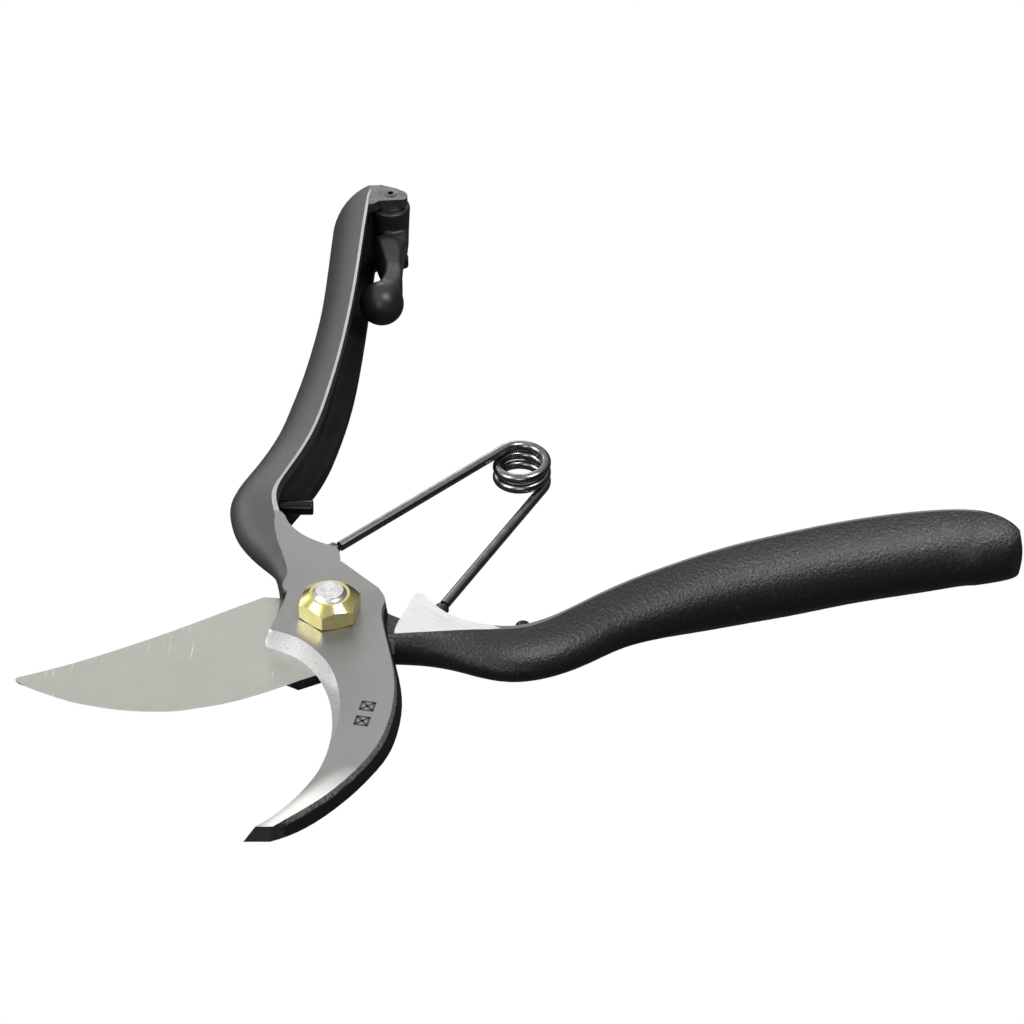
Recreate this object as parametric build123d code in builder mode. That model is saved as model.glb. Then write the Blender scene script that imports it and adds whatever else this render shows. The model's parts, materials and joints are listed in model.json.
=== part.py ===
"""Forged bypass pruning shears, shown open.

Units are millimetres, +Z is up.  The origin is on the pivot axis, on the outer
face of the pivot bolt's head.  Heights in the two forgings are given from the
common top plane of the two halves (TOP), downwards negative.
"""
import os
from math import acos, atan2, cos, degrees, hypot, pi, radians, sin

from build123d import *

os.makedirs("parts", exist_ok=True)

# ---- driving dimensions ---------------------------------------------------
HEAD_T = 3.4          # bolt head thickness
BOSS_T = 3.7          # blade half thickness under the nut
PLATE_T = 3.5         # hook plate thickness
PLAY = 0.04           # running gap between faces that slide on each other
BOLT_R = 3.5          # pivot bolt shank radius
BOLT_FIT = 0.05       # radial clearance of the blade half on the bolt
JOINT = HEAD_T + BOSS_T + 2 * PLAY   # underside of the hook plate
TOP = JOINT + PLATE_T                # common top plane
NUT_H = 4.95
NUT_AF = 11.1
BLADE_T = 2.4         # blade thickness at the ricasso
TIP_DROP = 1.3        # how much thinner the blade gets towards its tip
BOSS_R = 12.2         # round boss of the blade half round the pivot
HANDLE_WALL = 2.3     # wall of the channel handles
LIP = 2.1             # channel flange thickness
EDGE_T = 26           # angle where the rounded back meets the ground strip
CLEAR_R = 17.3        # room under the hook half for the turning blade
WIRE_R = 1.04         # spring wire radius
FOOT_R = WIRE_R + 0.04        # round knuckle at each end of the spring wire
FOOT_H = 2 * WIRE_R + 0.06
COIL_R = 5.05         # spring coil mean radius
COIL_PITCH = 2 * WIRE_R + 0.26
COIL_STEP = 0.18              # how much lower the lower arm's coil lies, so that both can turn
COIL_C = (38.45, 50.3)        # spring coil centre in plan
SOCK_A = (1.3, 23.65)         # spring hinge point on the hook half
SOCK_B = (22.7, 7.2)         # spring hinge point on the blade half
SOCK_A_Z = TOP - 1.6
SOCK_B_Z = TOP - 3.9
COIL_TOP = TOP + 0.8         # height of the upper leg at the coil
PIN_AT = (9.2, 150.7)         # catch pin
PIN_R = 1.3
PIN_BORE_R = 0.62
TAB_T = 2.2                   # tabs that hold the catch pin
HANDLE_H = 18.8               # full handle height
HUB_R = 4.4
BALL_AT = (7.7, 120.7)
BALL_R = 5.0
BUMPER_R = 1.55


def at(x, y, z=0.0):
    """Point given from the top plane."""
    return (x, y, TOP + z)


# ---- channel handles --------------------------------------------------------
def section_frame(p, heading, side):
    """Plane whose x runs towards the other handle and whose y is up."""
    a = radians(heading + side * 90)
    inward = Vector(cos(a), sin(a), 0)
    return Plane(origin=at(*p), x_dir=inward, z_dir=inward.cross(Vector(0, 0, 1)))


def back_curve(w, d, h, b, wb, zt, steps=7):
    """Rounded back of the handle, from the top strip to the bottom strip."""
    t0 = EDGE_T
    s0 = sin(radians(t0))
    upper = (d - w) / (1 - s0)
    lower = (d + b - wb) / (1 - s0)
    tall = (h / 2) / cos(radians(t0))
    pts = []
    for i in range(steps):
        t = radians(t0 + (180 - 2 * t0) * i / (steps - 1))
        reach = upper if t <= radians(90) else lower
        pts.append((-d + reach * (1 - sin(t)), -zt - h / 2 + tall * cos(t)))
    return pts


def outer_section(p, heading, side, w, d, h, b, zt=0.0):
    """Closed outer profile of a handle at one station."""
    wb = w + b
    pts = back_curve(w, d, h, b, wb, zt)
    with BuildSketch(section_frame(p, heading, side)) as sk:
        with BuildLine():
            Line((0, -zt), pts[0])
            Spline(*pts)
            Line(pts[-1], (b, -zt - h))
            Line((b, -zt - h), (0, -zt))
        make_face()
    return sk.sketch.faces()[0]


def pocket_section(p, heading, side, w, d, h, b, wall=HANDLE_WALL, lip=LIP, zt=0.0):
    """Closed profile of the pocket that makes the handle a channel."""
    depth = d - wall
    tall = h / 2 - lip
    mid = -zt - h / 2
    pts = []
    for i in range(7):
        t = radians(180 * i / 6)
        root = -0.2 if i < 3 else (-0.2 if i == 3 else b * 0.7 - 0.2)
        reach = depth + root
        pts.append((root - reach * sin(t), mid + tall * cos(t)))
    with BuildSketch(section_frame(p, heading, side)) as sk:
        with BuildLine():
            Line((5, mid + tall), pts[0])
            Spline(*pts, tangents=[(-1, 0), (1, 0)])
            Line(pts[-1], (5, mid - tall))
            Line((5, mid - tall), (5, mid + tall))
        make_face()
    return sk.sketch.faces()[0]


# station: inner top edge x, y, heading, strip width, depth, share of HANDLE_H, lower offset,
# and at the end of the lower grip how far its top lies below the top plane
UPPER = [
    (-7.4, 7.0, 92, 1.4, 2.5, 0.184, 0.3),
    (-7.7, 13.0, 95, 1.2, 3.4, 0.207, 0.3),
    (-8.9, 19.5, 100, 1.2, 5.0, 0.34, 0.4),
    (-10.0, 25.5, 99, 1.7, 7.4, 0.441, 0.6),
    (-10.8, 31.0, 96, 1.3, 9.3, 0.505, 1.0),
    (-11.9, 36.0, 91, 1.0, 9.6, 0.543, 1.5),
    (-12.2, 40.5, 82, 0.9, 9.8, 0.58, 1.8),
    (-11.2, 44.7, 73, 0.6, 9.8, 0.617, 2.0),
    (-9.0, 50.3, 69, 0.6, 9.6, 0.654, 2.0),
    (-6.3, 57.7, 71, 0.6, 9.4, 0.697, 2.0),
    (-4.0, 66.5, 76, 0.6, 9.1, 0.777, 1.8),
    (-2.3, 76.0, 79.5, 0.6, 8.9, 0.872, 1.6),
    (-0.7, 86.5, 81.5, 0.6, 8.6, 0.952, 1.5),
    (0.8, 99.0, 83.5, 0.6, 8.2, 0.995, 1.5),
    (2.1, 113.0, 85, 0.6, 7.8, 1.0, 1.4),
    (3.1, 128.0, 86, 0.6, 7.8, 1.0, 1.4),
    (3.9, 141.0, 86, 0.6, 8.0, 1.0, 1.3),
    (4.5, 149.0, 85, 0.6, 8.2, 1.0, 1.2),
    (5.2, 156.0, 84, 0.6, 8.3, 1.0, 1.1),
]
LOWER = [
    (9.5, 0.6, -6, 7.4, 9.9, 0.426, 0.4),
    (15.0, -0.2, -7, 6.4, 8.7, 0.431, 0.4),
    (20.0, -0.8, -8, 5.4, 8.3, 0.463, 0.5),
    (25.0, -1.9, -12, 3.9, 8.3, 0.5, 0.8),
    (30.2, -3.5, -12, 1.9, 8.6, 0.543, 1.2),
    (35.5, -4.3, 1, 1.0, 9.2, 0.58, 1.5),
    (41.0, -2.9, 20, 0.9, 9.4, 0.601, 1.8),
    (46.5, 0.4, 33, 0.55, 9.4, 0.622, 1.9),
    (53.5, 5.9, 36, 0.55, 9.4, 0.654, 2.0),
    (61.5, 11.5, 31, 0.55, 10.0, 0.739, 2.0),
    (71.0, 17.0, 26.5, 0.55, 10.6, 0.867, 1.9),
    (81.0, 21.9, 22.5, 0.55, 11.1, 0.957, 1.7),
    (92.0, 26.1, 18.5, 0.55, 11.4, 1.0, 1.6),
    (103.0, 29.7, 15.5, 0.55, 11.4, 1.005, 1.5),
    (114.0, 32.4, 12, 0.55, 11.2, 1.005, 1.4),
    (124.0, 33.9, 5, 0.55, 10.5, 0.984, 1.4),
    (131.0, 33.9, -5, 0.55, 9.8, 0.941, 1.3),
]
LOWER_END = [
    (135.6, 33.1, -14, 0.5, 9.0, 0.872, 1.1, 0.5),
    (138.8, 31.8, -25, 0.5, 7.7, 0.761, 0.9, 1.5),
    (140.8, 30.3, -33, 0.5, 6.0, 0.606, 0.7, 2.9),
    (141.6, 29.2, -38, 0.5, 4.4, 0.436, 0.5, 4.4),
]


def channel(stations, side, first, last, nose=()):
    """Outer loft minus the pocket between two station numbers."""
    stations = [(*s[:5], s[5] * HANDLE_H, *s[6:]) for s in stations]
    nose = [(*s[:5], s[5] * HANDLE_H, *s[6:]) for s in nose]
    outer = [outer_section(s[:2], s[2], side, *s[3:7]) for s in stations]
    end = [outer_section(s[:2], s[2], side, *s[3:8]) for s in nose]
    inner = []
    for i, s in enumerate(stations[first:last]):
        grow = 0.45 if i == 0 else (0.8 if i == 1 else 1.0)
        wall = HANDLE_WALL + (1 - grow) * 7
        inner.append(pocket_section(s[:2], s[2], side, *s[3:7], wall=wall,
                                    lip=min(LIP, s[5] * 0.2) + (1 - grow) * 1.5))
    with BuildPart() as body:
        loft(outer)
        if end:
            loft(outer[-1:] + end)
        loft(inner, mode=Mode.SUBTRACT)
        # both grips are ground flat above and below
        with Locations(at(60, 60), at(60, 60, -HANDLE_H - 10)):
            Box(260, 260, 10, align=(Align.CENTER, Align.CENTER, Align.MIN), mode=Mode.SUBTRACT)
    return body.part


# ---- hook half --------------------------------------------------------------
def outline(groups, z):
    """Closed face from runs of points; each run is one edge."""
    with BuildSketch(Plane.XY.offset(z)) as sk:
        with BuildLine():
            for i, run in enumerate(groups):
                pts = list(run) + [groups[(i + 1) % len(groups)][0]]
                if len(pts) == 2:
                    Line(*pts)
                else:
                    Spline(*pts)
        make_face()
    return sk.sketch.faces()[0]


PLATE_LOW = [
    [(-14.7, -65.6)],
    [(-9.6, -65.6), (-3.9, -62.4), (2.3, -56.3), (5.6, -52.1), (9.4, -46.2),
     (12.1, -40.9), (13.8, -35.0), (14.6, -29.5), (14.8, -23.8), (14.2, -17.5),
     (12.8, -9.5), (11.7, -3.5), (11.3, 0.5)],
    [(11.4, 3.2), (11.35, 4.6), (10.7, 6.0)],
    [(9.6, 7.9)],
    [(2.1, 16.3)],
    [(1.5, 16.9), (1.4, 19.4)],
    [(0.6, 21.6), (-2.0, 22.7), (-5.0, 24.5), (-8.0, 27.5)],
    [(-9.8, 30.8), (-10.8, 33.0)],
    [(-12.0, 34.0)],
    [(-13.2, 30.0), (-13.2, 24.0), (-12.6, 18.6), (-11.4, 14.6), (-10.7, 11.0),
     (-10.4, 8.2), (-10.9, 3.5), (-12.0, -1.0)],
    [(-12.9, -4.9)],
    [(-12.6, -6.6), (-10.3, -8.0), (-7.2, -9.7), (-5.2, -11.5), (-3.2, -14.2),
     (-1.7, -16.9), (-0.5, -20.0), (0.6, -24.2), (1.15, -28.5), (1.25, -32.5),
     (0.9, -36.6), (0.1, -41.0), (-1.3, -45.6), (-3.0, -49.9), (-5.2, -54.1),
     (-7.8, -58.0), (-10.8, -61.7)],
]
PLATE_HIGH = [
    [(-12.3, -65.2)],
    [(-9.0, -65.2), (-4.4, -61.1), (0.6, -56.2), (3.9, -52.1), (7.8, -46.2),
     (10.4, -40.8), (12.1, -35.0), (13.0, -29.5), (13.3, -23.8), (12.9, -17.5),
     (11.6, -9.5), (10.6, -3.5), (10.3, 0.5)],
    [(10.8, 3.2), (10.9, 4.6), (10.4, 6.2)],
    [(9.55, 8.0)],
    [(2.1, 16.4)],
    [(1.5, 16.9), (1.4, 19.4)],
    [(0.6, 21.6), (-2.0, 22.7), (-5.0, 24.5), (-8.0, 27.5)],
    [(-9.8, 30.8), (-10.8, 33.0)],
    [(-12.0, 34.0)],
    [(-12.3, 30.0), (-11.6, 25.0), (-10.4, 20.0), (-9.3, 15.0), (-8.8, 11.0),
     (-8.8, 7.5), (-9.5, 3.0), (-10.8, -1.5)],
    [(-11.9, -5.2)],
    [(-11.3, -5.6), (-9.6, -6.3), (-6.5, -7.9), (-4.0, -10.1), (-2.0, -12.7),
     (-0.4, -15.2), (1.0, -18.4), (2.2, -23.2), (2.75, -28.0), (2.8, -32.0),
     (2.3, -36.2), (1.4, -40.6), (0.3, -45.6), (-1.5, -50.5), (-3.8, -54.9),
     (-6.5, -59.0), (-9.4, -62.5)],
]


def nub(p, z, heading, back, length, radius):
    """Short round boss that the spring wire's knuckle turns against."""
    a = radians(heading)
    base = Vector(p[0] - back * cos(a), p[1] - back * sin(a), z)
    with BuildPart() as b:
        with BuildSketch(Plane(origin=base, z_dir=(cos(a), sin(a), 0))):
            Circle(radius)
        extrude(amount=length)
        chamfer(b.edges().filter_by(GeomType.CIRCLE).sort_by(
            lambda e: e.center().X * cos(a) + e.center().Y * sin(a))[-1:], 0.35)
    return b.part


with BuildPart() as hook:
    add(channel(UPPER, -1, 5, 18))
    # room for the boss of the other half, below the sliding face
    with BuildSketch(Plane.XY.offset(TOP - 30)):
        Circle(CLEAR_R)
    extrude(amount=30 - PLATE_T, mode=Mode.SUBTRACT)
    add(loft([outline(PLATE_LOW, JOINT), outline(PLATE_HIGH, TOP)], ruled=True))
    # the two tabs that carry the catch
    for z in (TOP - TAB_T, TOP - HANDLE_H):
        with BuildSketch(Plane.XY.offset(z)):
            with BuildLine():
                Polyline((5.0, 154.0), (7.0, 154.2), (10.3, 152.9), (12.2, 151.6))
                Spline((12.2, 151.6), (13.0, 150.0), (12.2, 148.3),
                       tangents=[(0.8, -0.9), (-0.9, -0.5)])
                Polyline((12.2, 148.3), (6.6, 147.8), (5.4, 146.6), (4.0, 146.4), (5.0, 154.0))
            make_face()
        extrude(amount=TAB_T)
    # rounded end of the handle
    with BuildSketch(Plane.XY.offset(TOP - 25)):
        with BuildLine():
            Spline((-4.9, 141.0), (-4.1, 146.4), (-2.1, 150.4), (1.2, 153.0), (5.6, 154.2))
            Polyline((5.6, 154.2), (14, 154.2), (14, 170), (-20, 170), (-20, 141.0),
                     (-4.9, 141.0))
        make_face()
    extrude(amount=30, mode=Mode.SUBTRACT)
    add(nub(SOCK_A, SOCK_A_Z, 38, 2.6, 1.8, WIRE_R + 0.4))
    with Locations((*SOCK_A, SOCK_A_Z)):
        Cylinder(FOOT_R + 0.06, 4 * WIRE_R, mode=Mode.SUBTRACT)
    # holes for the pivot bolt, the catch pin and the rubber stop
    with BuildSketch(Plane.XY.offset(TOP + 1)):
        Circle(BOLT_R)
    extrude(amount=-30, mode=Mode.SUBTRACT)
    with BuildSketch(Plane.XY.offset(TOP + 1)):
        with Locations(PIN_AT):
            Circle(PIN_R)
    extrude(amount=-30, mode=Mode.SUBTRACT)
    # hub pocket of the catch in the channel end
    with BuildSketch(Plane.XY.offset(TOP - HANDLE_H + TAB_T)):
        with Locations(PIN_AT):
            Circle(HUB_R + 0.4)
    extrude(amount=HANDLE_H - 2 * TAB_T, mode=Mode.SUBTRACT)

# ---- blade half -------------------------------------------------------------
BLADE_TOP = [
    [(-61.9, -16.9), (-60.0, -18.7), (-56.0, -21.1), (-50.0, -23.9), (-45.0, -25.4),
     (-40.0, -26.4), (-35.0, -26.8), (-30.0, -26.7), (-25.0, -25.7), (-20.0, -24.3),
     (-14.0, -21.8)],
    [(-8.6, -18.9)],
    [(-5.9, -17.3)],
    [(13.0, -7.6)],
    [(13.0, 1.0)],
    [(8.0, 9.2), (0.0, 12.2), (-6.5, 10.8)],
    [(-10.6, 9.1)],
    [(-13.7, 9.4), (-20.0, 5.6), (-30.0, -0.6), (-40.0, -6.3), (-50.0, -11.4)],
    [(-61.6, -16.2)],
]
BLADE_LOW = [
    [(-60.6, -16.6), (-58.0, -16.9), (-54.0, -17.3), (-49.0, -17.6), (-44.0, -17.9),
     (-39.0, -18.1), (-34.0, -18.2), (-29.0, -18.0), (-24.0, -17.2), (-19.0, -15.9),
     (-14.0, -14.6)],
    [(-10.6, -14.4)],
    [(-5.9, -17.3)],
    [(13.0, -7.6)],
    [(13.0, 1.0)],
    [(8.0, 9.2), (0.0, 12.2), (-6.5, 10.8)],
    [(-10.6, 9.1)],
    [(-13.7, 9.4), (-20.0, 5.6), (-30.0, -0.6), (-40.0, -6.3), (-50.0, -11.4)],
    [(-60.4, -15.7)],
]
FIN = [
    [(12.95, -5.9), (13.1, -4.6), (13.9, -2.0), (15.1, 1.0), (16.0, 4.0)],
    [(16.7, 5.7), (17.5, 6.25), (18.4, 6.0)],
    [(19.4, 4.6), (21.5, 1.9), (23.0, 0.3), (25.2, -1.4), (28.0, -2.8), (31.0, -3.8)],
    [(33.0, -4.3)],
    [(32.0, -4.9)],
    [(26.0, -5.0)],
    [(13.2, -6.3)],
]
BLADE_FACE = JOINT - PLAY

with BuildPart() as blade:
    add(channel(LOWER, 1, 5, 17, LOWER_END))
    with BuildSketch(Plane.XY.offset(TOP - 6.4)):
        add(outline(FIN, 0))
    extrude(amount=6.4)
    # the hook plate turns above the joint plane: clear everything inside its sweep
    with BuildSketch(Plane.XY.offset(BLADE_FACE)):
        with BuildLine():
            Spline((13.3, -20.0), (13.1, -9.0), (13.1, -5.2), (14.05, -2.0), (15.25, 1.0),
                   (16.15, 4.0), (16.9, 5.7))
            Polyline((16.9, 5.7), (17.7, 16.0), (-5, 16), (-5, -20), (13.3, -20.0))
        make_face()
    extrude(amount=8, mode=Mode.SUBTRACT)
    add(loft([outline(BLADE_LOW, BLADE_FACE - BLADE_T), outline(BLADE_TOP, BLADE_FACE)],
             ruled=True))
    # distal taper of the blade
    with BuildSketch(Plane.XZ.offset(-20)):
        with BuildLine():
            Polyline((-14, BLADE_FACE - BLADE_T), (-64, BLADE_FACE - BLADE_T + TIP_DROP),
                     (-64, BLADE_FACE - 9), (-14, BLADE_FACE - 9), (-14, BLADE_FACE - BLADE_T))
        make_face()
    extrude(amount=60, mode=Mode.SUBTRACT)
    # round boss under the pivot
    with BuildSketch(Plane.XY.offset(BLADE_FACE - BOSS_T)):
        Circle(BOSS_R)
    extrude(amount=BOSS_T)
    # flange of the tang into the boss
    with BuildSketch(Plane.XY.offset(BLADE_FACE - BOSS_T)):
        with BuildLine():
            Polyline((6, -10.5), (12.5, -7.4), (17, -4.0), (19, 0.0))
            Spline((19, 0.0), (14.4, 2.3), (11.3, 4.3), (8.0, 9.2))
            Polyline((8.0, 9.2), (0, 0), (6, -10.5))
        make_face()
    extrude(amount=BOSS_T)
    add(nub(SOCK_B, SOCK_B_Z, 71, 6.4, 5.7, WIRE_R + 0.4))
    with Locations((*SOCK_B, SOCK_B_Z)):
        Cylinder(FOOT_R + 0.06, 4 * WIRE_R, mode=Mode.SUBTRACT)
    # rounded end of the grip
    with BuildSketch(Plane.XZ.offset(-40)):
        with BuildLine():
            Spline((139.6, TOP + 1), (140.9, TOP - 4), (141.3, TOP - 8.6), (140.4, TOP - 13.2),
                   (138.0, TOP - 17.0), (134.0, TOP - 20.0))
            Polyline((134.0, TOP - 20.0), (150, TOP - 20.0), (150, TOP + 1), (139.6, TOP + 1))
        make_face()
    extrude(amount=20, mode=Mode.SUBTRACT)
    with BuildSketch(Plane.XY.offset(BLADE_FACE + 1)):
        Circle(BOLT_R + BOLT_FIT)
    extrude(amount=-12, mode=Mode.SUBTRACT)

# ---- pivot bolt and nut -----------------------------------------------------
with BuildPart() as bolt:
    with BuildSketch():
        RegularPolygon(radius=5.5, side_count=6, major_radius=False, rotation=10)
    extrude(amount=HEAD_T)
    with BuildSketch():
        Circle(6.1)
    extrude(amount=HEAD_T, taper=0, mode=Mode.INTERSECT)
    with BuildSketch():
        Circle(BOLT_R)
    extrude(amount=TOP + NUT_H + 0.75)
    chamfer(bolt.faces().sort_by(Axis.Z)[-1].edges(), 0.7)

with BuildPart() as nut:
    with BuildSketch(Plane.XY.offset(TOP)):
        RegularPolygon(radius=NUT_AF / 2, side_count=6, major_radius=False, rotation=17.5)
        Circle(BOLT_R, mode=Mode.SUBTRACT)
    extrude(amount=NUT_H)
    # turned crown and foot: cones take the corners down
    with BuildSketch(Plane.XZ):
        with BuildLine():
            Polyline((0, TOP), (NUT_AF / 2 - 0.25, TOP), (7.2, TOP + 0.7), (7.2, TOP + NUT_H - 2.35),
                     (BOLT_R + 0.6, TOP + NUT_H), (0, TOP + NUT_H), (0, TOP))
        make_face()
    revolve(axis=Axis.Z, mode=Mode.INTERSECT)


# ---- return spring ----------------------------------------------------------
def polar(c, r, deg):
    return (c[0] + r * cos(radians(deg)), c[1] + r * sin(radians(deg)))


def tangent_angle(sock, sign):
    """Angle on the coil where a straight leg from the socket touches it."""
    dx, dy = sock[0] - COIL_C[0], sock[1] - COIL_C[1]
    return degrees(atan2(dy, dx)) + sign * degrees(acos(COIL_R / hypot(dx, dy)))


LEG_A = tangent_angle(SOCK_A, -1)      # upper leg leaves the coil here
LEG_B = tangent_angle(SOCK_B, 1)       # lower leg leaves the coil here
TURN = (LEG_A - LEG_B) % 360 + 720     # total wound angle, clockwise from the upper leg
SPLIT = 410                            # wound angle kept by the upper arm
GAP = 0.6


def coil_dir(t, sense):
    """Direction of the wire at wound angle t, downwards when sense is 1."""
    a = radians(LEG_A - t)
    drop = COIL_PITCH / (2 * pi * COIL_R)
    return Vector(sin(a), -cos(a), -drop).normalized() * sense


def spring_arm(sock, sock_z, leg_deg, turn0, turn1):
    """One leg with its share of the coil, swept in one piece from the socket."""
    low_leg = turn1 == TURN
    n = int((turn1 - turn0) / 24) + 1
    turns = [turn0 + (turn1 - turn0) * i / n for i in range(n + 1)]
    if low_leg:
        turns.reverse()
    top = COIL_TOP - (COIL_STEP if low_leg else 0)
    pts = [Vector(*polar(COIL_C, COIL_R, LEG_A - t), top - COIL_PITCH * t / 360) for t in turns]
    foot = Vector(sock[0], sock[1], sock_z)
    run = (pts[0] - foot).normalized()
    along = [run] + [coil_dir(t, -1 if low_leg else 1) for t in turns[1:]]
    with BuildPart() as arm:
        with BuildLine() as path:
            Line(foot, pts[0])
            Spline(*pts, tangents=along)
        with BuildSketch(Plane(origin=foot, z_dir=run)):
            Circle(WIRE_R)
        sweep(path=path.wires()[0])
        with Locations(foot):
            Cylinder(FOOT_R, FOOT_H)
    return arm.part


upper_arm = spring_arm(SOCK_A, SOCK_A_Z, LEG_A, 0, SPLIT)
lower_arm = spring_arm(SOCK_B, SOCK_B_Z, LEG_B, SPLIT + GAP, TURN)

# ---- catch ------------------------------------------------------------------
HUB_LOW = TOP - HANDLE_H + TAB_T + 0.15
HUB_HIGH = TOP - TAB_T - 0.85
ARM_Z = TOP - HANDLE_H / 2 + 0.4
# catch arm: centre in plan, half width, half height
ARM = [((9.6, 147.5), 3.7, 4.4), ((9.6, 141.0), 3.3, 3.8), ((9.5, 134.0), 2.7, 3.1),
       ((9.5, 128.0), 2.5, 2.7), ((8.9, 122.5), 3.2, 3.3)]
arm_sections = []
for (x, y), a, b in ARM:
    with BuildSketch(Plane(origin=(x, y, ARM_Z), x_dir=(1, 0, 0), z_dir=(0, -1, 0))) as sk:
        RectangleRounded(2 * a, 2 * b, 1.3)
    arm_sections.append(sk.sketch.faces()[0])
with BuildPart() as catch:
    with BuildSketch(Plane.XY.offset(HUB_LOW)):
        with Locations(PIN_AT):
            Circle(HUB_R - 0.7)
    extrude(amount=HUB_HIGH - HUB_LOW, taper=-3.0)
    loft(arm_sections)
    # web along the outer side of the hub
    with BuildSketch(Plane.XY.offset(HUB_HIGH - 1.2)):
        with BuildLine():
            Polyline((9.4, 154.6), (12.0, 153.3), (13.3, 150.6), (13.5, 148.4), (12.9, 142.0),
                     (9.4, 142.0), (9.4, 154.6))
        make_face()
    extrude(amount=-(HUB_HIGH - 1.2 - (ARM_Z - 3)), taper=7)
    with Locations((BALL_AT[0], BALL_AT[1], ARM_Z)):
        Sphere(BALL_R)
    with BuildSketch(Plane.XY.offset(TOP + 1)):
        with Locations(PIN_AT):
            Circle(PIN_R + 0.05)
    extrude(amount=-30, mode=Mode.SUBTRACT)

with BuildPart() as catch_pin:
    with BuildSketch(Plane.XY.offset(TOP - HANDLE_H)):
        with Locations(PIN_AT):
            Circle(PIN_R)
            Circle(PIN_BORE_R, mode=Mode.SUBTRACT)
    extrude(amount=HANDLE_H + 0.15)

with BuildPart() as washer:
    with BuildSketch(Plane.XY.offset(HUB_HIGH + 0.1)):
        with Locations(PIN_AT):
            Circle(3.2)
            Circle(PIN_R + 0.1, mode=Mode.SUBTRACT)
    extrude(amount=0.6)


# ---- rubber stops -----------------------------------------------------------
def bumper(base, heading, z, length):
    """Moulded stop: a flange in the channel and a plain round nose."""
    a = radians(heading)
    with BuildPart() as b:
        with BuildSketch(Plane(origin=(base[0], base[1], z), z_dir=(cos(a), sin(a), 0))):
            Circle(BUMPER_R + 0.75)
        extrude(amount=1.5)
        with BuildSketch(Plane(origin=(base[0], base[1], z), z_dir=(cos(a), sin(a), 0))):
            Circle(BUMPER_R)
        extrude(amount=length)
        tip = b.faces().sort_by(lambda f: f.center().X * cos(a) + f.center().Y * sin(a))[-1]
        fillet(tip.edges(), 0.35)
    return b.part


UP_BUMP_Z = TOP - 5.9
LOW_BUMP_Z = TOP - 5.9
upper_bumper = bumper((-19.0, 42.4), 0, UP_BUMP_Z, 14.2)
lower_bumper = bumper((38.6, -11.2), 90, LOW_BUMP_Z, 14.4)
hook_half = hook.part - upper_bumper
blade_half = blade.part - lower_bumper

PARTS = {
    "hook_half": hook_half,
    "blade_half": blade_half,
    "pivot_bolt": bolt.part,
    "pivot_nut": nut.part,
    "spring_upper_arm": upper_arm,
    "spring_lower_arm": lower_arm,
    "catch": catch.part,
    "catch_pin": catch_pin.part,
    "catch_washer": washer.part,
    "upper_bumper": upper_bumper,
    "lower_bumper": lower_bumper,
}
for name, shape in PARTS.items():
    solid = shape.solids()
    shape = solid[0] if len(solid) == 1 else Compound(children=solid)
    shape.label = name
    export_step(shape, f"parts/{name}.step")
    box = shape.bounding_box()
    print(name, len(solid), "solids", round(shape.volume, 1), "mm3",
          [round(v, 2) for v in (*box.min, *box.max)], "valid", shape.is_valid)
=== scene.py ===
"""Looks of the pruning shears: materials, catch, spring, mark, light and camera."""
import json
from math import acos, atan2, cos, degrees, radians, sin

import bpy
import bmesh
from mathutils import Matrix, Vector


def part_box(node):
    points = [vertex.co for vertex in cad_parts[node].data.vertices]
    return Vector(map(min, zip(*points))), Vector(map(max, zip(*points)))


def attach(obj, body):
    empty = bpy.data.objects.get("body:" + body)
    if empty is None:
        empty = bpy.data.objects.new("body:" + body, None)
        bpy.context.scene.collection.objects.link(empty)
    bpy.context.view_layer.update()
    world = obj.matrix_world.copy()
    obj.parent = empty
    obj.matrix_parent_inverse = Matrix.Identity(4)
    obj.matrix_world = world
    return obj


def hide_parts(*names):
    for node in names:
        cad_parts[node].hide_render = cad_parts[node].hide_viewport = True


MM = 0.001

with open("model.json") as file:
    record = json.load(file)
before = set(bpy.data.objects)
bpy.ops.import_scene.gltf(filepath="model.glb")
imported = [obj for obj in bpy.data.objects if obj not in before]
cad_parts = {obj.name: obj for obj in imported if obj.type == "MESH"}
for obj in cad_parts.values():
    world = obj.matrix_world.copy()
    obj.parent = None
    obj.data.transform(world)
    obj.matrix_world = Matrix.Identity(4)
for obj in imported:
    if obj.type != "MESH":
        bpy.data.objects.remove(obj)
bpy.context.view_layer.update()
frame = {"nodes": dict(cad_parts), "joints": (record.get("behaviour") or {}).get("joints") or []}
nodes = frame["nodes"]
scene = bpy.context.scene

# ---- places read from the frame ---------------------------------------------
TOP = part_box("pivot_nut")[0].z             # common top plane of the two forgings
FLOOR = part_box("hook_half")[0].z           # lower flanges of the handles
PLATE = 3.5 * MM                           # hook plate thickness
BLADE_FACE = TOP - PLATE - 0.04 * MM       # sliding face of the blade half
PIN = sum(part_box("catch_pin"), Vector()) / 2
joints = {j["name"]: j for j in frame["joints"]}
FOOT_A = Vector(joints["spring_upper"]["pos_m"])
FOOT_B = Vector(joints["spring_lower"]["pos_m"])


# ---- helpers ------------------------------------------------------------------
def math_node(tree, operation, *terms):
    """Output of a math node whose terms are numbers or other nodes' outputs."""
    node = tree.nodes.new("ShaderNodeMath")
    node.operation = operation
    for socket, term in zip(node.inputs, terms):
        if isinstance(term, (int, float)):
            socket.default_value = term
        else:
            tree.links.new(term, socket)
    return node.outputs[0]


def put(name, data):
    """New object with that data, in the scene."""
    obj = bpy.data.objects.new(name, data)
    scene.collection.objects.link(obj)
    return obj


def put_bmesh(name, mesh):
    """New object made from a finished bmesh."""
    data = bpy.data.meshes.new(name)
    mesh.to_mesh(data)
    mesh.free()
    return put(name, data)


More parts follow.
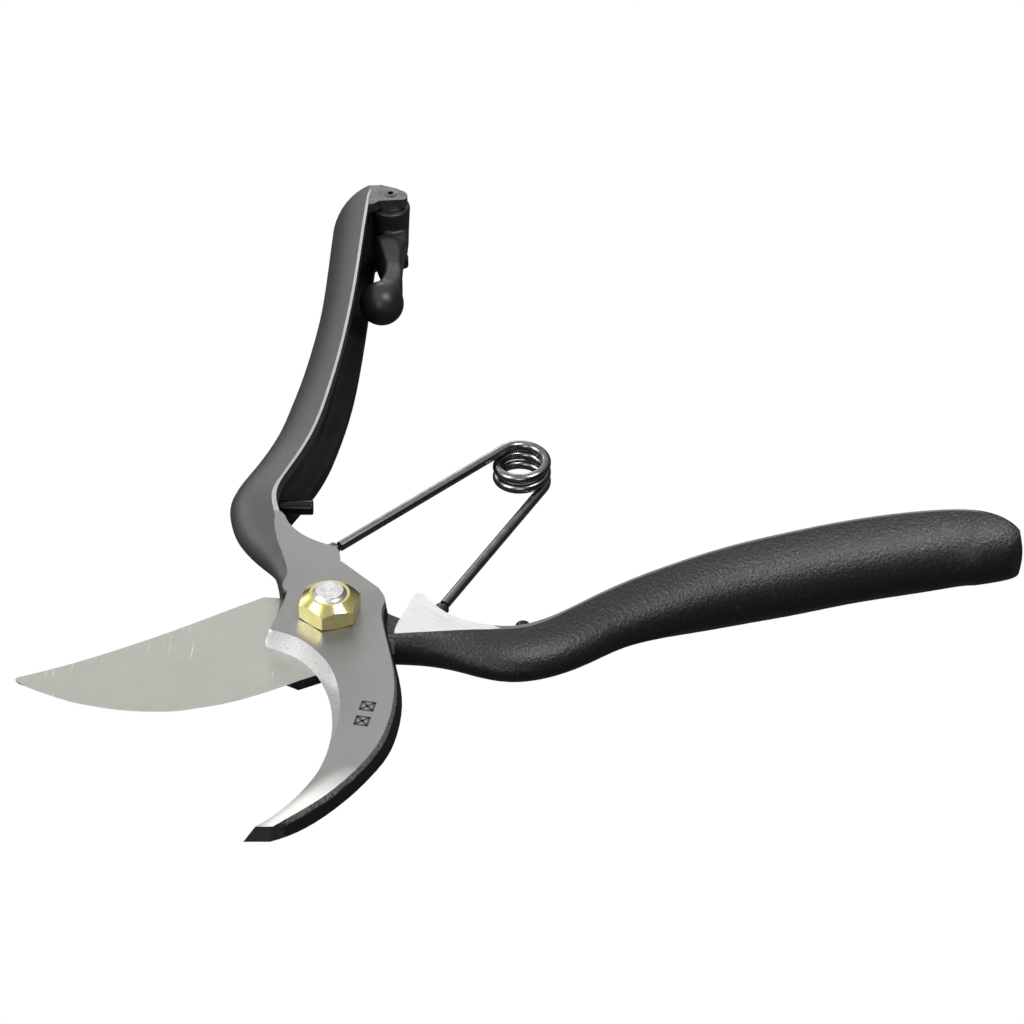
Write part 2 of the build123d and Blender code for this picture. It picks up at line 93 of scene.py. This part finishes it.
class Look:
    """A Principled material with helpers for procedural maps in the object's own frame."""

    def __init__(self, name, color, rough, metal=0.0, **sockets):
        self.mat = bpy.data.materials.new(name)
        self.mat.use_nodes = True
        self.tree = self.mat.node_tree
        self.shader = self.tree.nodes["Principled BSDF"]
        self.set("Base Color", (*color, 1))
        self.set("Roughness", rough)
        self.set("Metallic", metal)
        for key, value in sockets.items():
            self.set(key.replace("_", " "), value)
        self.coord = self.add("ShaderNodeTexCoord").outputs["Object"]
        self.mat.diffuse_color = (*color, 1)

    def set(self, socket, value):
        self.shader.inputs[socket].default_value = value

    def add(self, kind, **fields):
        node = self.tree.nodes.new(kind)
        for key, value in fields.items():
            setattr(node, key, value)
        return node

    def link(self, a, b):
        self.tree.links.new(a, b)

    def noise(self, size, detail=3.0, rough=0.5, stretch=1.0, angle=0.0, distort=0.0):
        """Noise with features of that size; stretched along a direction in plan."""
        place = self.add("ShaderNodeMapping", vector_type="TEXTURE")
        place.inputs["Rotation"].default_value = (0, 0, radians(angle))
        place.inputs["Scale"].default_value = (size * stretch, size, size)
        self.link(self.coord, place.inputs["Vector"])
        tex = self.add("ShaderNodeTexNoise")
        tex.inputs["Scale"].default_value = 1.0
        tex.inputs["Detail"].default_value = detail
        tex.inputs["Roughness"].default_value = rough
        tex.inputs["Distortion"].default_value = distort
        self.link(place.outputs["Vector"], tex.inputs["Vector"])
        return tex.outputs["Fac"]

    def cells(self, size):
        """Rounded cells, like the pores of a textured coating."""
        tex = self.add("ShaderNodeTexVoronoi", feature="SMOOTH_F1")
        tex.inputs["Scale"].default_value = 1 / size
        self.link(self.coord, tex.inputs["Vector"])
        return tex.outputs["Distance"]

    def remap(self, value, low, high, to_low, to_high):
        out = self.add("ShaderNodeMapRange")
        for i, number in enumerate((low, high, to_low, to_high), start=1):
            out.inputs[i].default_value = number
        self.link(value, out.inputs[0])
        return out.outputs[0]

    def math(self, operation, a, b):
        return math_node(self.tree, operation, a, b)

    def mix(self, fac, a, b):
        """Colour a where fac is 0 and b where it is 1."""
        out = self.add("ShaderNodeMix", data_type="RGBA")
        self.link(fac, out.inputs[0])
        for slot, colour in ((6, a), (7, b)):
            if isinstance(colour, tuple):
                out.inputs[slot].default_value = (*colour, 1)
            else:
                self.link(colour, out.inputs[slot])
        return out.outputs[2]

    def height(self, axis="Z"):
        """The point's own coordinate along an axis of the shared frame, in metres."""
        split = self.add("ShaderNodeSeparateXYZ")
        self.link(self.coord, split.inputs[0])
        return split.outputs[axis]

    def color(self, value):
        self.link(value, self.shader.inputs["Base Color"])

    def rough(self, value):
        self.link(value, self.shader.inputs["Roughness"])

    def bump(self, value, depth):
        """Surface relief of that depth in metres."""
        out = self.add("ShaderNodeBump")
        out.inputs["Strength"].default_value = 1.0
        out.inputs["Distance"].default_value = depth
        self.link(value, out.inputs["Height"])
        self.link(out.outputs[0], self.shader.inputs["Normal"])


# ---- materials ------------------------------------------------------------------
def coat(name, base, rough, grain, depth, light=1.9, level=0.4):
    """Thick black coating with a leathery grain; its high spots are lightened, a painted highlight
    speckle.
    """
    look = Look(name, base, rough, Specular_IOR_Level=level)
    fine = look.noise(grain, detail=4, rough=0.62, distort=0.6)
    broad = look.noise(grain * 9, detail=2)
    pores = look.cells(grain * 1.5)
    relief = look.math("ADD", look.math("MULTIPLY", fine, 0.7), look.math("MULTIPLY", pores, 0.6))
    # painted highlight: the grain's high spots get the lighter lit colour, as speckled glints
    sheen_spots = look.remap(relief, 0.62, 0.95, 0.0, 1.0)
    sheen_mask = look.math("MULTIPLY", sheen_spots, look.remap(broad, 0.35, 0.7, 0.25, 0.8))
    lit = tuple(c * light + 0.014 for c in base)
    look.color(look.mix(sheen_mask, base, lit))
    look.rough(look.remap(fine, 0.3, 0.7, rough + 0.09, rough - 0.08))
    look.bump(relief, depth)
    return look.mat


def ground(name, base, rough, angle, line, spread=0.10, deep=0.000004, scratches=0.0, cross=None,
           metal=1.0):
    """Ground or brushed steel with fine lines along one direction in plan, and a second set across."""
    look = Look(name, base, rough, metal=metal)
    lines = look.noise(line * MM, detail=3, rough=0.7, stretch=40, angle=angle)
    cloud = look.noise(9 * MM, detail=3, rough=0.6)
    low = tuple(c * (1 - spread) for c in base)
    high = tuple(min(1.0, c * (1 + spread * 0.7)) for c in base)
    tone = look.math("ADD", look.math("MULTIPLY", lines, 0.65), look.math("MULTIPLY", cloud, 0.35))
    colour = look.mix(look.remap(tone, 0.35, 0.65, 0, 1), low, high)
    relief = lines
    if cross is not None:
        bands = look.noise(line * MM * 9, detail=2, stretch=14, angle=cross)
        colour = look.mix(look.remap(bands, 0.55, 0.75, 0.0, 0.45), colour, (1.0, 1.0, 1.0))
        relief = look.math("ADD", lines, bands)
    if scratches:
        stray = look.noise(0.35 * MM, detail=1, stretch=26, angle=angle + 37)
        stray = look.remap(stray, 0.70, 0.74, 0, 1)
        where = look.remap(look.noise(14 * MM, detail=1), 0.5, 0.62, 0, 1)
        mark = look.math("MULTIPLY", stray, where)
        colour = look.mix(look.math("MULTIPLY", mark, scratches), colour, (1.0, 1.0, 0.96))
    look.color(colour)
    look.rough(look.remap(lines, 0.3, 0.7, rough - 0.05, rough + 0.07))
    if deep:
        look.bump(relief, deep)
    return look.mat


def forged_edge():
    """Black forged side of the hook, with a narrow worn chamfer under the plate's edge."""
    look = Look("forged_edge", (0.010, 0.010, 0.011), 0.45, Specular_IOR_Level=0.35)
    scale = look.noise(0.45 * MM, detail=5, rough=0.65)
    broad = look.noise(3 * MM, detail=2)
    waver = look.math("MULTIPLY", look.remap(broad, 0, 1, -1, 1), 0.3 * MM)
    z = look.math("ADD", look.height(), waver)
    chamfer = look.remap(z, TOP - 1.35 * MM, TOP - 0.95 * MM, 0.0, 1.0)
    grey = look.mix(look.remap(scale, 0.38, 0.62, 0, 1), (0.055, 0.056, 0.055), (0.24, 0.24, 0.235))
    look.color(look.mix(chamfer, (0.007, 0.007, 0.009), grey))
    look.rough(look.remap(scale, 0.3, 0.7, 0.5, 0.36))
    look.bump(scale, 0.00012)
    return look.mat


def plate_face():
    """Top of the hook plate: even satin grinding, with a painted highlight towards the thin tip of the
    hook.
    """
    look = Look("plate_ground", (0.26, 0.26, 0.255), 0.38, metal=0.8)
    lines = look.noise(0.05 * MM, detail=3, rough=0.7, stretch=60, angle=70)
    cloud = look.noise(14 * MM, detail=2, rough=0.5)
    tone = look.math("ADD", look.math("MULTIPLY", lines, 0.3), look.math("MULTIPLY", cloud, 0.7))
    grey = look.mix(look.remap(tone, 0.35, 0.65, 0, 1), (0.245, 0.243, 0.236), (0.275, 0.273, 0.267))
    # painted highlight: near white over the last stretch of the hook, starting past the mark, wider on
    # its inner side
    gleam = look.remap(look.height("Y"), -47 * MM, -57 * MM, 0.0, 1.0)
    across = look.math("ADD", look.height("X"), look.math("MULTIPLY", look.height("Y"), -0.85))
    band = look.remap(across, 42.6 * MM, 45.4 * MM, 0.0, 1.0)
    painted_gleam = look.math("MULTIPLY", gleam, band)
    look.color(look.mix(look.math("MULTIPLY", painted_gleam, 0.85), grey, (0.97, 0.96, 0.93)))
    specks = look.noise(0.5 * MM, detail=1)
    look.rough(look.remap(specks, 0.3, 0.7, 0.36, 0.43))
    look.bump(lines, 0.0000015)
    return look.mat


def brass():
    """Polished brass of the nut, lightly clouded."""
    look = Look("brass_polished", (0.93, 0.80, 0.30), 0.16, metal=1.0)
    lines = look.noise(0.12 * MM, detail=2, stretch=8, angle=20)
    cloud = look.noise(2.5 * MM, detail=3)
    look.color(look.mix(look.remap(cloud, 0.35, 0.7, 0, 1), (0.98, 0.91, 0.46), (0.90, 0.78, 0.26)))
    look.rough(look.remap(cloud, 0.3, 0.7, 0.12, 0.2))
    look.bump(lines, 0.0000025)
    return look.mat


def turned():
    """Bolt end with the fine rings of the lathe."""
    look = Look("bolt_turned", (0.82, 0.83, 0.82), 0.24, metal=1.0)
    rings = look.add("ShaderNodeTexWave", wave_type="RINGS", rings_direction="Z")
    rings.inputs["Scale"].default_value = 420
    rings.inputs["Distortion"].default_value = 0.8
    rings.inputs["Detail"].default_value = 2
    look.link(look.coord, rings.inputs["Vector"])
    cloud = look.noise(1.6 * MM, detail=3)
    look.color(look.mix(look.remap(cloud, 0.35, 0.7, 0, 1), (0.84, 0.85, 0.84), (0.50, 0.52, 0.52)))
    look.rough(look.remap(cloud, 0.3, 0.7, 0.28, 0.4))
    look.bump(rings.outputs["Fac"], 0.00002)
    return look.mat


def wire():
    """Blackened and oiled spring wire, smooth and glossy."""
    look = Look("spring_wire", (0.11, 0.11, 0.115), 0.2, metal=1.0)
    spots = look.noise(2.2 * MM, detail=2)
    look.color(look.mix(look.remap(spots, 0.4, 0.65, 0, 1), (0.26, 0.26, 0.265), (0.18, 0.18, 0.185)))
    look.rough(look.remap(spots, 0.3, 0.7, 0.2, 0.27))
    return look.mat


def satin(name, base, rough, grain=0.5, depth=0.00002, metal=0.0, level=0.5, vary=0.25):
    """Plain satin or moulded surface with slight clouding and fine relief."""
    look = Look(name, base, rough, metal=metal, Specular_IOR_Level=level)
    cloud = look.noise(grain * 7 * MM, detail=3)
    low = tuple(c * (1 - vary) for c in base)
    high = tuple(c * (1 + vary) for c in base)
    look.color(look.mix(look.remap(cloud, 0.35, 0.65, 0, 1), low, high))
    look.rough(look.remap(cloud, 0.3, 0.7, rough - 0.04, rough + 0.06))
    look.bump(look.noise(grain * MM, detail=4, rough=0.6), depth)
    return look.mat


COAT_ROUGH = coat("coat_textured", (0.007, 0.007, 0.009), 0.36, 0.42 * MM, 0.00012, level=0.42)
COAT_SMOOTH = coat("coat_satin", (0.026, 0.026, 0.027), 0.40, 0.40 * MM, 0.00005, light=1.3, level=0.7)
# very dark walls of the handles' pockets: painted shade in the recesses
INSIDE = satin("channel_inside_painted_shade", (0.006, 0.006, 0.008), 0.55, grain=0.8, depth=0.00006, level=0.3)
PLATE_FACE = plate_face()
BLADE_STEEL = ground("blade_ground", (0.47, 0.48, 0.435), 0.36, 48, line=0.22, spread=0.07,
                     scratches=0.8)
# the bevel is really polished; its near-white, part diffuse base is a painted reflection of the bright
# lights
BEVEL = ground("bevel_polish_painted_reflection", (0.95, 0.955, 0.97), 0.3, 60, line=0.3, spread=0.08, deep=0, cross=25,
               metal=0.68)
FIN_STEEL = ground("fin_brushed", (0.76, 0.76, 0.76), 0.36, -38, line=0.28, spread=0.12, deep=0.00001,
                   metal=0.85)
EDGE = ground("edge_honed", (0.42, 0.43, 0.42), 0.3, 12, line=0.2, spread=0.1)
STRIP = ground("strip_ground", (0.52, 0.52, 0.50), 0.34, 82, line=0.12, spread=0.12)
STRIP_DARK = ground("strip_worn", (0.20, 0.20, 0.20), 0.42, 20, line=0.12, spread=0.2)
TAB = satin("tab_worn", (0.15, 0.15, 0.147), 0.42, grain=0.4, depth=0.00003, metal=0.8, vary=0.3)
TAB_SIDE = satin("tab_edge", (0.07, 0.07, 0.072), 0.35, grain=0.5, depth=0.0001, metal=0.6, vary=0.5)
FORGED = forged_edge()
BRASS = brass()
TURNED = turned()
WIRE = wire()
CATCH = satin("catch_black", (0.014, 0.014, 0.015), 0.40, grain=0.5, depth=0.00002, level=0.5)
PIN_STEEL = satin("pin_steel", (0.20, 0.20, 0.20), 0.3, metal=1.0)
SOCKET = satin("socket_dark", (0.09, 0.09, 0.09), 0.3, metal=1.0)
RUBBER = satin("stop_rubber", (0.004, 0.004, 0.005), 0.22, grain=0.4, depth=0.000006, level=0.3)
WASHER = satin("washer_steel", (0.30, 0.30, 0.30), 0.4, metal=1.0)
STAMP = satin("stamp_dark", (0.035, 0.035, 0.036), 0.5, grain=0.2, depth=0.00003)


# ---- which surface of a forging gets which material -------------------------------
NEAR = 0.05 * MM              # how close to a plane counts as lying on it
LEVEL = 0.99                  # upward part of a normal that counts as level
BORE_REACH = 4 * MM           # from the pivot axis to just past the bores
POCKET_MID_NECK = TOP - 6 * MM     # middle height of a handle's pocket near the neck
POCKET_MID_GRIP = TOP - 9 * MM     # and along the grip
TAB_FOOT = TOP - 2.4 * MM     # underside of the upper tab
# borders in plan, in mm
EAR_X, EAR_Y = 0.2, 21.3      # inner corner of the spring ear
TAB_REACH = 6.6               # round the catch pin
TAB_LEFT, TAB_FROM = 4.4, 146
END_LEFT = 3.5                # outside of the upper handle's end
PLATE_END = 33.5              # the plate's face runs out into the narrow strip
BEVEL_FROM, BEVEL_TO = -4.4, -63.4
BLADE_END = 7                 # the blade's ground face ends beside the plate
BLADE_LEFT = -14.2            # left of the boss there is only blade
FIN_END = 33.2                # the shoulder's face runs out into the narrow strip


def paint(name, choose, materials):
    """Gives each face of a CAD node the material that choose names for it."""
    obj = nodes[name]
    mesh = obj.data
    mesh.materials.clear()
    order = list(materials)
    for key in order:
        mesh.materials.append(materials[key])
    for face in mesh.polygons:
        face.material_index = order.index(choose(face.center, face.normal))


def inside_channel(c, n, inward, mid):
    """True on the walls of a handle's pocket."""
    if n.dot(inward) > 0.35:
        return c.z < TOP - 2.0 * MM
    return (n.z < -0.3 and c.z > mid) or (n.z > 0.3 and c.z < mid)


def hook_surface(c, n):
    """Which finish a face of the hook half has, from where it lies and where it faces."""
    x, y = c.x / MM, c.y / MM
    if (c - FOOT_A).length < 3.2 * MM and c.z < TOP - 0.02 * MM and x > EAR_X and y > EAR_Y:
        return "socket"
    near_pin = (c - PIN).to_2d().length < TAB_REACH * MM and y > TAB_FROM
    if near_pin and x > TAB_LEFT and c.z > TAB_FOOT and n.x > -0.3:
        return "tab" if n.z > 0.9 else "tab_side"
    if n.z > LEVEL and c.z > TOP - NEAR:
        return "plate" if y < PLATE_END else "strip"
    if c.to_2d().length < BORE_REACH:
        return "socket"
    if y < 30 and c.z > TOP - PLATE - NEAR and abs(n.z) < 0.9:
        if BEVEL_TO < y < BEVEL_FROM and n.x < 0.15 and n.z > 0.05:
            return "bevel"
        if x > -7:
            return "forged"
        if y < 6:
            return "neck"
    if n.z < -0.9 and y < 20:
        return "plate"
    if near_pin and abs(n.z) > 0.8:
        outer = c.z > TAB_FOOT or x < END_LEFT or (c.z < -5 * MM and n.z < 0)
        return "neck" if outer else "inside"
    if inside_channel(c, n, Vector((1, 0, 0)), POCKET_MID_NECK if y < 60 else POCKET_MID_GRIP):
        return "inside"
    return "neck"


def blade_surface(c, n):
    """Which finish a face of the blade half has."""
    x, y = c.x / MM, c.y / MM
    near_socket = (c - FOOT_B).length < 7 * MM and 20.0 < x < 24.6
    if near_socket and y > 0.8 and c.z < TOP - 0.3 * MM and y > 8.6 - 0.45 * x:
        return "socket"
    if n.z > LEVEL and abs(c.z - BLADE_FACE) < NEAR:
        return "blade" if x < BLADE_END else "coat"
    if n.z > LEVEL and c.z > TOP - NEAR:
        return "fin" if x < FIN_END else "strip"
    if c.to_2d().length < BORE_REACH:
        return "socket"
    if x < BLADE_LEFT:
        return "edge" if n.z < -0.15 and n.z > -0.995 and n.y < 0.2 else "blade"
    if x < -4 and y < -13:
        return "coat"
    if n.z < -0.9 and x < 10:
        return "blade"
    if x < 6 and y > 8:
        return "blade"
    pocket_mid = POCKET_MID_NECK if x < 55 else POCKET_MID_GRIP
    if x > 13 and inside_channel(c, n, Vector((0, 1, 0)), pocket_mid):
        return "inside"
    return "coat"


paint("hook_half", hook_surface, {
    "plate": PLATE_FACE, "strip": STRIP, "bevel": BEVEL, "forged": FORGED, "neck": COAT_SMOOTH,
    "inside": INSIDE, "socket": SOCKET, "tab": TAB, "tab_side": TAB_SIDE})
paint("blade_half", blade_surface, {
    "blade": BLADE_STEEL, "edge": EDGE, "fin": FIN_STEEL, "strip": STRIP_DARK,
    "coat": COAT_ROUGH, "inside": INSIDE, "socket": SOCKET})
for name, material in {
        "pivot_bolt": TURNED, "pivot_nut": BRASS, "spring_upper_arm": WIRE, "spring_lower_arm": WIRE,
        "catch": CATCH, "catch_pin": PIN_STEEL, "catch_washer": WASHER,
        "upper_bumper": RUBBER, "lower_bumper": RUBBER}.items():
    paint(name, lambda c, n: "all", {"all": material})


# ---- catch: cast piece with soft transitions -----------------------------------------
ARM_Z = TOP - 9.0 * MM
BALL = Vector((7.7 * MM, 120.7 * MM, ARM_Z))
BALL_R = 4.95 * MM
HUB_FOOT_R, HUB_TOP_R = 3.7 * MM, 4.4 * MM
WASHER_GAP = 0.1 * MM
# arm of the catch: y, left foot, left and right of its flat top, right foot, top and bottom from ARM_Z
ARM = [
    (150.5, 6.4, 8.0, 12.6, 13.2, 1.4, -4.2),
    (146.5, 6.0, 7.6, 12.6, 13.2, 1.2, -4.2),
    (143.6, 5.6, 6.2, 7.6, 12.8, 1.4, -4.0),
    (142.2, 5.4, 6.3, 8.2, 12.6, 3.6, -3.9),
    (139.5, 5.6, 6.8, 10.4, 12.4, 4.4, -3.7),
    (136.0, 6.2, 7.6, 11.6, 12.2, 4.3, -3.5),
    (131.0, 7.4, 8.6, 11.7, 12.0, 4.0, -3.2),
    (127.0, 7.2, 8.6, 12.0, 12.2, 4.2, -3.2),
    (124.0, 5.6, 7.6, 11.2, 12.3, 4.2, -3.4),
    (121.5, 4.8, 7.0, 9.5, 12.0, 4.2, -3.6),
]


def catch_piece():
    """Hub, slanting arm and ball in one relaxed skin, in place of the plain CAD catch."""
    mesh = bmesh.new()
    rings = []
    for y, foot_l, top_l, top_r, foot_r, high, low in ARM:
        outline = [
            (foot_l, (high + low) / 2 - 0.6), (top_l - 0.5, high - 0.9), (top_l, high),
            (top_r, high), (foot_r, high - 1.2), (foot_r, low + 1.2),
            (foot_r - 1.2, low), (foot_l + 1.2, low), (foot_l, low + 1.2)]
        rings.append([mesh.verts.new((x * MM, y * MM, ARM_Z + z * MM)) for x, z in outline])
    count = len(rings[0])
    for a, b in zip(rings, rings[1:]):
        for i in range(count):
            k = (i + 1) % count
            mesh.faces.new((a[i], a[k], b[k], b[i]))
    mesh.faces.new(rings[0][::-1])
    mesh.faces.new(rings[-1])
    bmesh.ops.create_icosphere(mesh, subdivisions=5, radius=BALL_R, matrix=Matrix.Translation(BALL))
    hub_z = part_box("catch")[0].z
    hub_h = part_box("catch_washer")[0].z - WASHER_GAP - hub_z
    hub = Matrix.Translation((PIN.x, PIN.y, hub_z + hub_h / 2))
    bmesh.ops.create_cone(mesh, cap_ends=True, segments=64, radius1=HUB_FOOT_R, radius2=HUB_TOP_R,
                          depth=hub_h, matrix=hub)
    bmesh.ops.recalc_face_normals(mesh, faces=mesh.faces)
    obj = put_bmesh("catch_cast", mesh)
    remesh = obj.modifiers.new("remesh", "REMESH")
    remesh.mode = "VOXEL"
    remesh.voxel_size = 0.26 * MM
    relax = obj.modifiers.new("relax", "SMOOTH")
    relax.iterations = 28
    relax.factor = 0.6
    bpy.context.view_layer.update()
    skin = bpy.data.meshes.new_from_object(obj.evaluated_get(bpy.context.evaluated_depsgraph_get()))
    obj.modifiers.clear()
    obj.data = skin
    for face in skin.polygons:
        face.use_smooth = True
    skin.materials.append(CATCH)
    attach(obj, "catch_body")
    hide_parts("catch")


catch_piece()


# ---- return spring: smooth wire in place of the two CAD arms ------------------------------
WIRE_R = 1.04 * MM
COIL_R = 5.05 * MM
COIL_AT = Vector((38.45 * MM, 50.3 * MM))
COIL_TOP = TOP + 0.8 * MM
COIL_PITCH = 2 * WIRE_R + 0.26 * MM
COIL_STEP = 0.18 * MM                 # the lower arm's share of the coil lies this much lower
SPLIT = 410                           # wound angle where the two arms meet at rest


def leg_angle(foot, side):
    """Angle on the coil where the straight leg from a foot touches it."""
    reach = foot.to_2d() - COIL_AT
    return degrees(atan2(reach.y, reach.x)) + side * degrees(acos(COIL_R / reach.length))


LEG_A = leg_angle(FOOT_A, -1)
LEG_B = leg_angle(FOOT_B, 1)
TURN = (LEG_A - LEG_B) % 360 + 720     # wound angle from leg to leg: two full turns and the rest


def spring_wire(node, body, foot, turns, drop):
    """Straight leg and its share of the coil as one round wire."""
    points = [foot]
    for t in turns:
        a = radians(LEG_A - t)
        points.append(Vector((COIL_AT.x + COIL_R * cos(a), COIL_AT.y + COIL_R * sin(a),
                              COIL_TOP - drop - COIL_PITCH * t / 360)))
    name = node + "_wire"
    curve = bpy.data.curves.new(name, "CURVE")
    curve.dimensions = "3D"
    curve.bevel_depth = WIRE_R
    curve.bevel_resolution = 8
    curve.use_fill_caps = True
    line = curve.splines.new("POLY")
    line.points.add(len(points) - 1)
    for point, place in zip(line.points, points):
        point.co = (*place, 1)
    line.use_smooth = True
    obj = put(name, curve)
    curve.materials.append(WIRE)
    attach(obj, body)
    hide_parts(node)


def steps(start, end, size=5):
    """Wound angles from start to end, both included."""
    count = max(1, round(abs(end - start) / size))
    return [start + (end - start) * i / count for i in range(count + 1)]


# the upper arm's wire runs on into the lower coil, so no gap opens when the spring winds up
OVERRUN = 34
JOIN_GAP = 0.6                        # degrees left between the two arms' share of the coil
spring_wire("spring_upper_arm", "spring_upper_body", FOOT_A, steps(0, SPLIT + OVERRUN), 0)
spring_wire("spring_lower_arm", "spring_lower_body", FOOT_B, steps(TURN, SPLIT + JOIN_GAP), COIL_STEP)


# ---- stamped mark: plain crossed bars in place of lettering ------------------------------
MARK_AT = Vector((7.7 * MM, -31.6 * MM, TOP))
MARK_TURN = -12               # degrees, along the hook
MARK_APART = 2.3              # of each mark's centre from the middle between them, in mm
MARK_HALF = 1.25              # from a mark's centre to the middle of its frame's bars, in mm
MARK_LIFT = 0.012 * MM


def stamped_mark():
    """Two generic marks, each a crossed frame of short dark bars that lie on the plate."""
    mesh = bmesh.new()
    centre = MARK_AT + Vector((0, 0, MARK_LIFT / 2))
    turn = Matrix.Rotation(radians(MARK_TURN), 3, "Z")

    def bar(x, y, length, width, angle):
        spin = Matrix.Rotation(radians(angle), 3, "Z")
        shift = Vector((x * MM, y * MM, 0))
        for v in bmesh.ops.create_cube(mesh, size=1)["verts"]:
            p = spin @ Vector((v.co.x * length * MM, v.co.y * width * MM, 0)) + shift
            v.co = centre + turn @ p + Vector((0, 0, v.co.z * MARK_LIFT))

    for middle in (MARK_APART, -MARK_APART):
        for angle in (45, 135):
            bar(0, middle, 3.4, 0.55, angle)
        for side in (-MARK_HALF, MARK_HALF):
            bar(side, middle, 2.5, 0.5, 90)
            bar(0, middle + side, 2.9, 0.5, 0)
    obj = put_bmesh("stamp_mark", mesh)
    obj.data.materials.append(STAMP)
    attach(obj, "hook_body")


stamped_mark()


# ---- light, floor and camera ----------------------------------------------------------------
FLOOR_HALF = 3.0


def emitter(name, strength):
    """White glow of that strength."""
    mat = bpy.data.materials.new(name)
    mat.use_nodes = True
    tree = mat.node_tree
    tree.nodes.clear()
    out = tree.nodes.new("ShaderNodeOutputMaterial")
    glow = tree.nodes.new("ShaderNodeEmission")
    glow.inputs["Color"].default_value = (1, 1, 1, 1)
    glow.inputs["Strength"].default_value = strength
    tree.links.new(glow.outputs[0], out.inputs[0])
    return mat


def plane(name, z, strength, hidden_from):
    """Level glowing plane under the shears, hidden from the named kinds of rays."""
    corners = [(x * FLOOR_HALF, y * FLOOR_HALF, z) for x, y in ((-1, -1), (1, -1), (1, 1), (-1, 1))]
    mesh = bpy.data.meshes.new(name)
    mesh.from_pydata(corners, [], [(0, 1, 2, 3)])
    mesh.materials.append(emitter(name, strength))
    obj = put(name, mesh)
    for kind in hidden_from:
        setattr(obj, "visible_" + kind, False)


DOME_AXIS = (-0.15, 0.42, 0.90)
# brightness of the dome by the cosine of the angle from its axis
DOME_STOPS = ((0.0, 0.02), (0.35, 0.12), (0.7, 0.42), (0.86, 0.64), (1.0, 0.8))
# soft lights in the dome: where each one stands, how tight it is and how bright
DOME_LIGHTS = [
    ((-0.72, -0.25, 0.62), 40, 15.0),     # left, for the jaws and the nut
    ((-0.60, 0.67, 0.43), 50, 3.0),       # back left, for the shoulder of the upper handle
    ((-0.05, 0.97, 0.22), 60, 6.0),       # back, for the spring
    ((-0.20, -0.84, 0.50), 60, 6.0),      # front, for the bends of the lower handle
]
BOX_AT = Vector((0.34, -0.14, 0.82))
BOX_AIM = Vector((0.08, 0.03, 0))
BOX_SIZE = 0.30
BOX_WATTS = 5.0


def studio():
    """White floor, a dome that is bright above and behind and dark low down, and one large soft box."""
    plane("floor_white", FLOOR - 0.05 * MM, 1.0, ("diffuse", "glossy", "shadow", "transmission"))
    plane("floor_bounce", FLOOR - 0.3 * MM, 0.08, ("camera",))

    world = bpy.data.worlds.new("studio")
    scene.world = world
    world.use_nodes = True
    tree = world.node_tree
    coord = tree.nodes.new("ShaderNodeTexCoord").outputs["Generated"]

    def towards(direction):
        """How much a ray points in that direction, as a cosine."""
        dot = tree.nodes.new("ShaderNodeVectorMath")
        dot.operation = "DOT_PRODUCT"
        dot.inputs[1].default_value = Vector(direction).normalized()
        tree.links.new(coord, dot.inputs[0])
        return dot.outputs["Value"]

    ramp = tree.nodes.new("ShaderNodeValToRGB")
    tree.links.new(towards(DOME_AXIS), ramp.inputs[0])
    while len(ramp.color_ramp.elements) < len(DOME_STOPS):
        ramp.color_ramp.elements.new(0.5)
    for element, (position, value) in zip(ramp.color_ramp.elements, DOME_STOPS):
        element.position = position
        element.color = (value, value, value, 1)
    total = ramp.outputs[0]
    for direction, tight, bright in DOME_LIGHTS:
        facing = math_node(tree, "MAXIMUM", towards(direction), 0.0)
        lobe = math_node(tree, "POWER", facing, tight)
        total = math_node(tree, "ADD", total, math_node(tree, "MULTIPLY", lobe, bright))
    tree.links.new(total, tree.nodes["Background"].inputs["Strength"])
    tree.nodes["Background"].inputs["Color"].default_value = (1, 1, 1, 1)

    light = bpy.data.lights.new("top_box", "AREA")
    light.shape = "SQUARE"
    light.size = BOX_SIZE
    light.energy = BOX_WATTS
    lamp = put("top_box", light)
    lamp.location = BOX_AT
    lamp.rotation_euler = (BOX_AIM - lamp.location).to_track_quat("-Z", "Y").to_euler()


CAMERA_AT = (0.0364, -0.78277, 0.63332)
CAMERA_TILT = 52.6515         # degrees up from straight down
CAMERA_LENS = 175.78
CAMERA_SENSOR = 36


def camera():
    """Long lens that looks down at the shears from beyond the jaws."""
    lens = bpy.data.cameras.new("camera")
    cam = put("camera", lens)
    cam.location = CAMERA_AT
    cam.rotation_euler = (radians(CAMERA_TILT), 0, 0)
    lens.lens = CAMERA_LENS
    lens.sensor_width = CAMERA_SENSOR
    lens.clip_start = 0.05
    scene.camera = cam


studio()
camera()
scene.view_settings.view_transform = "Standard"
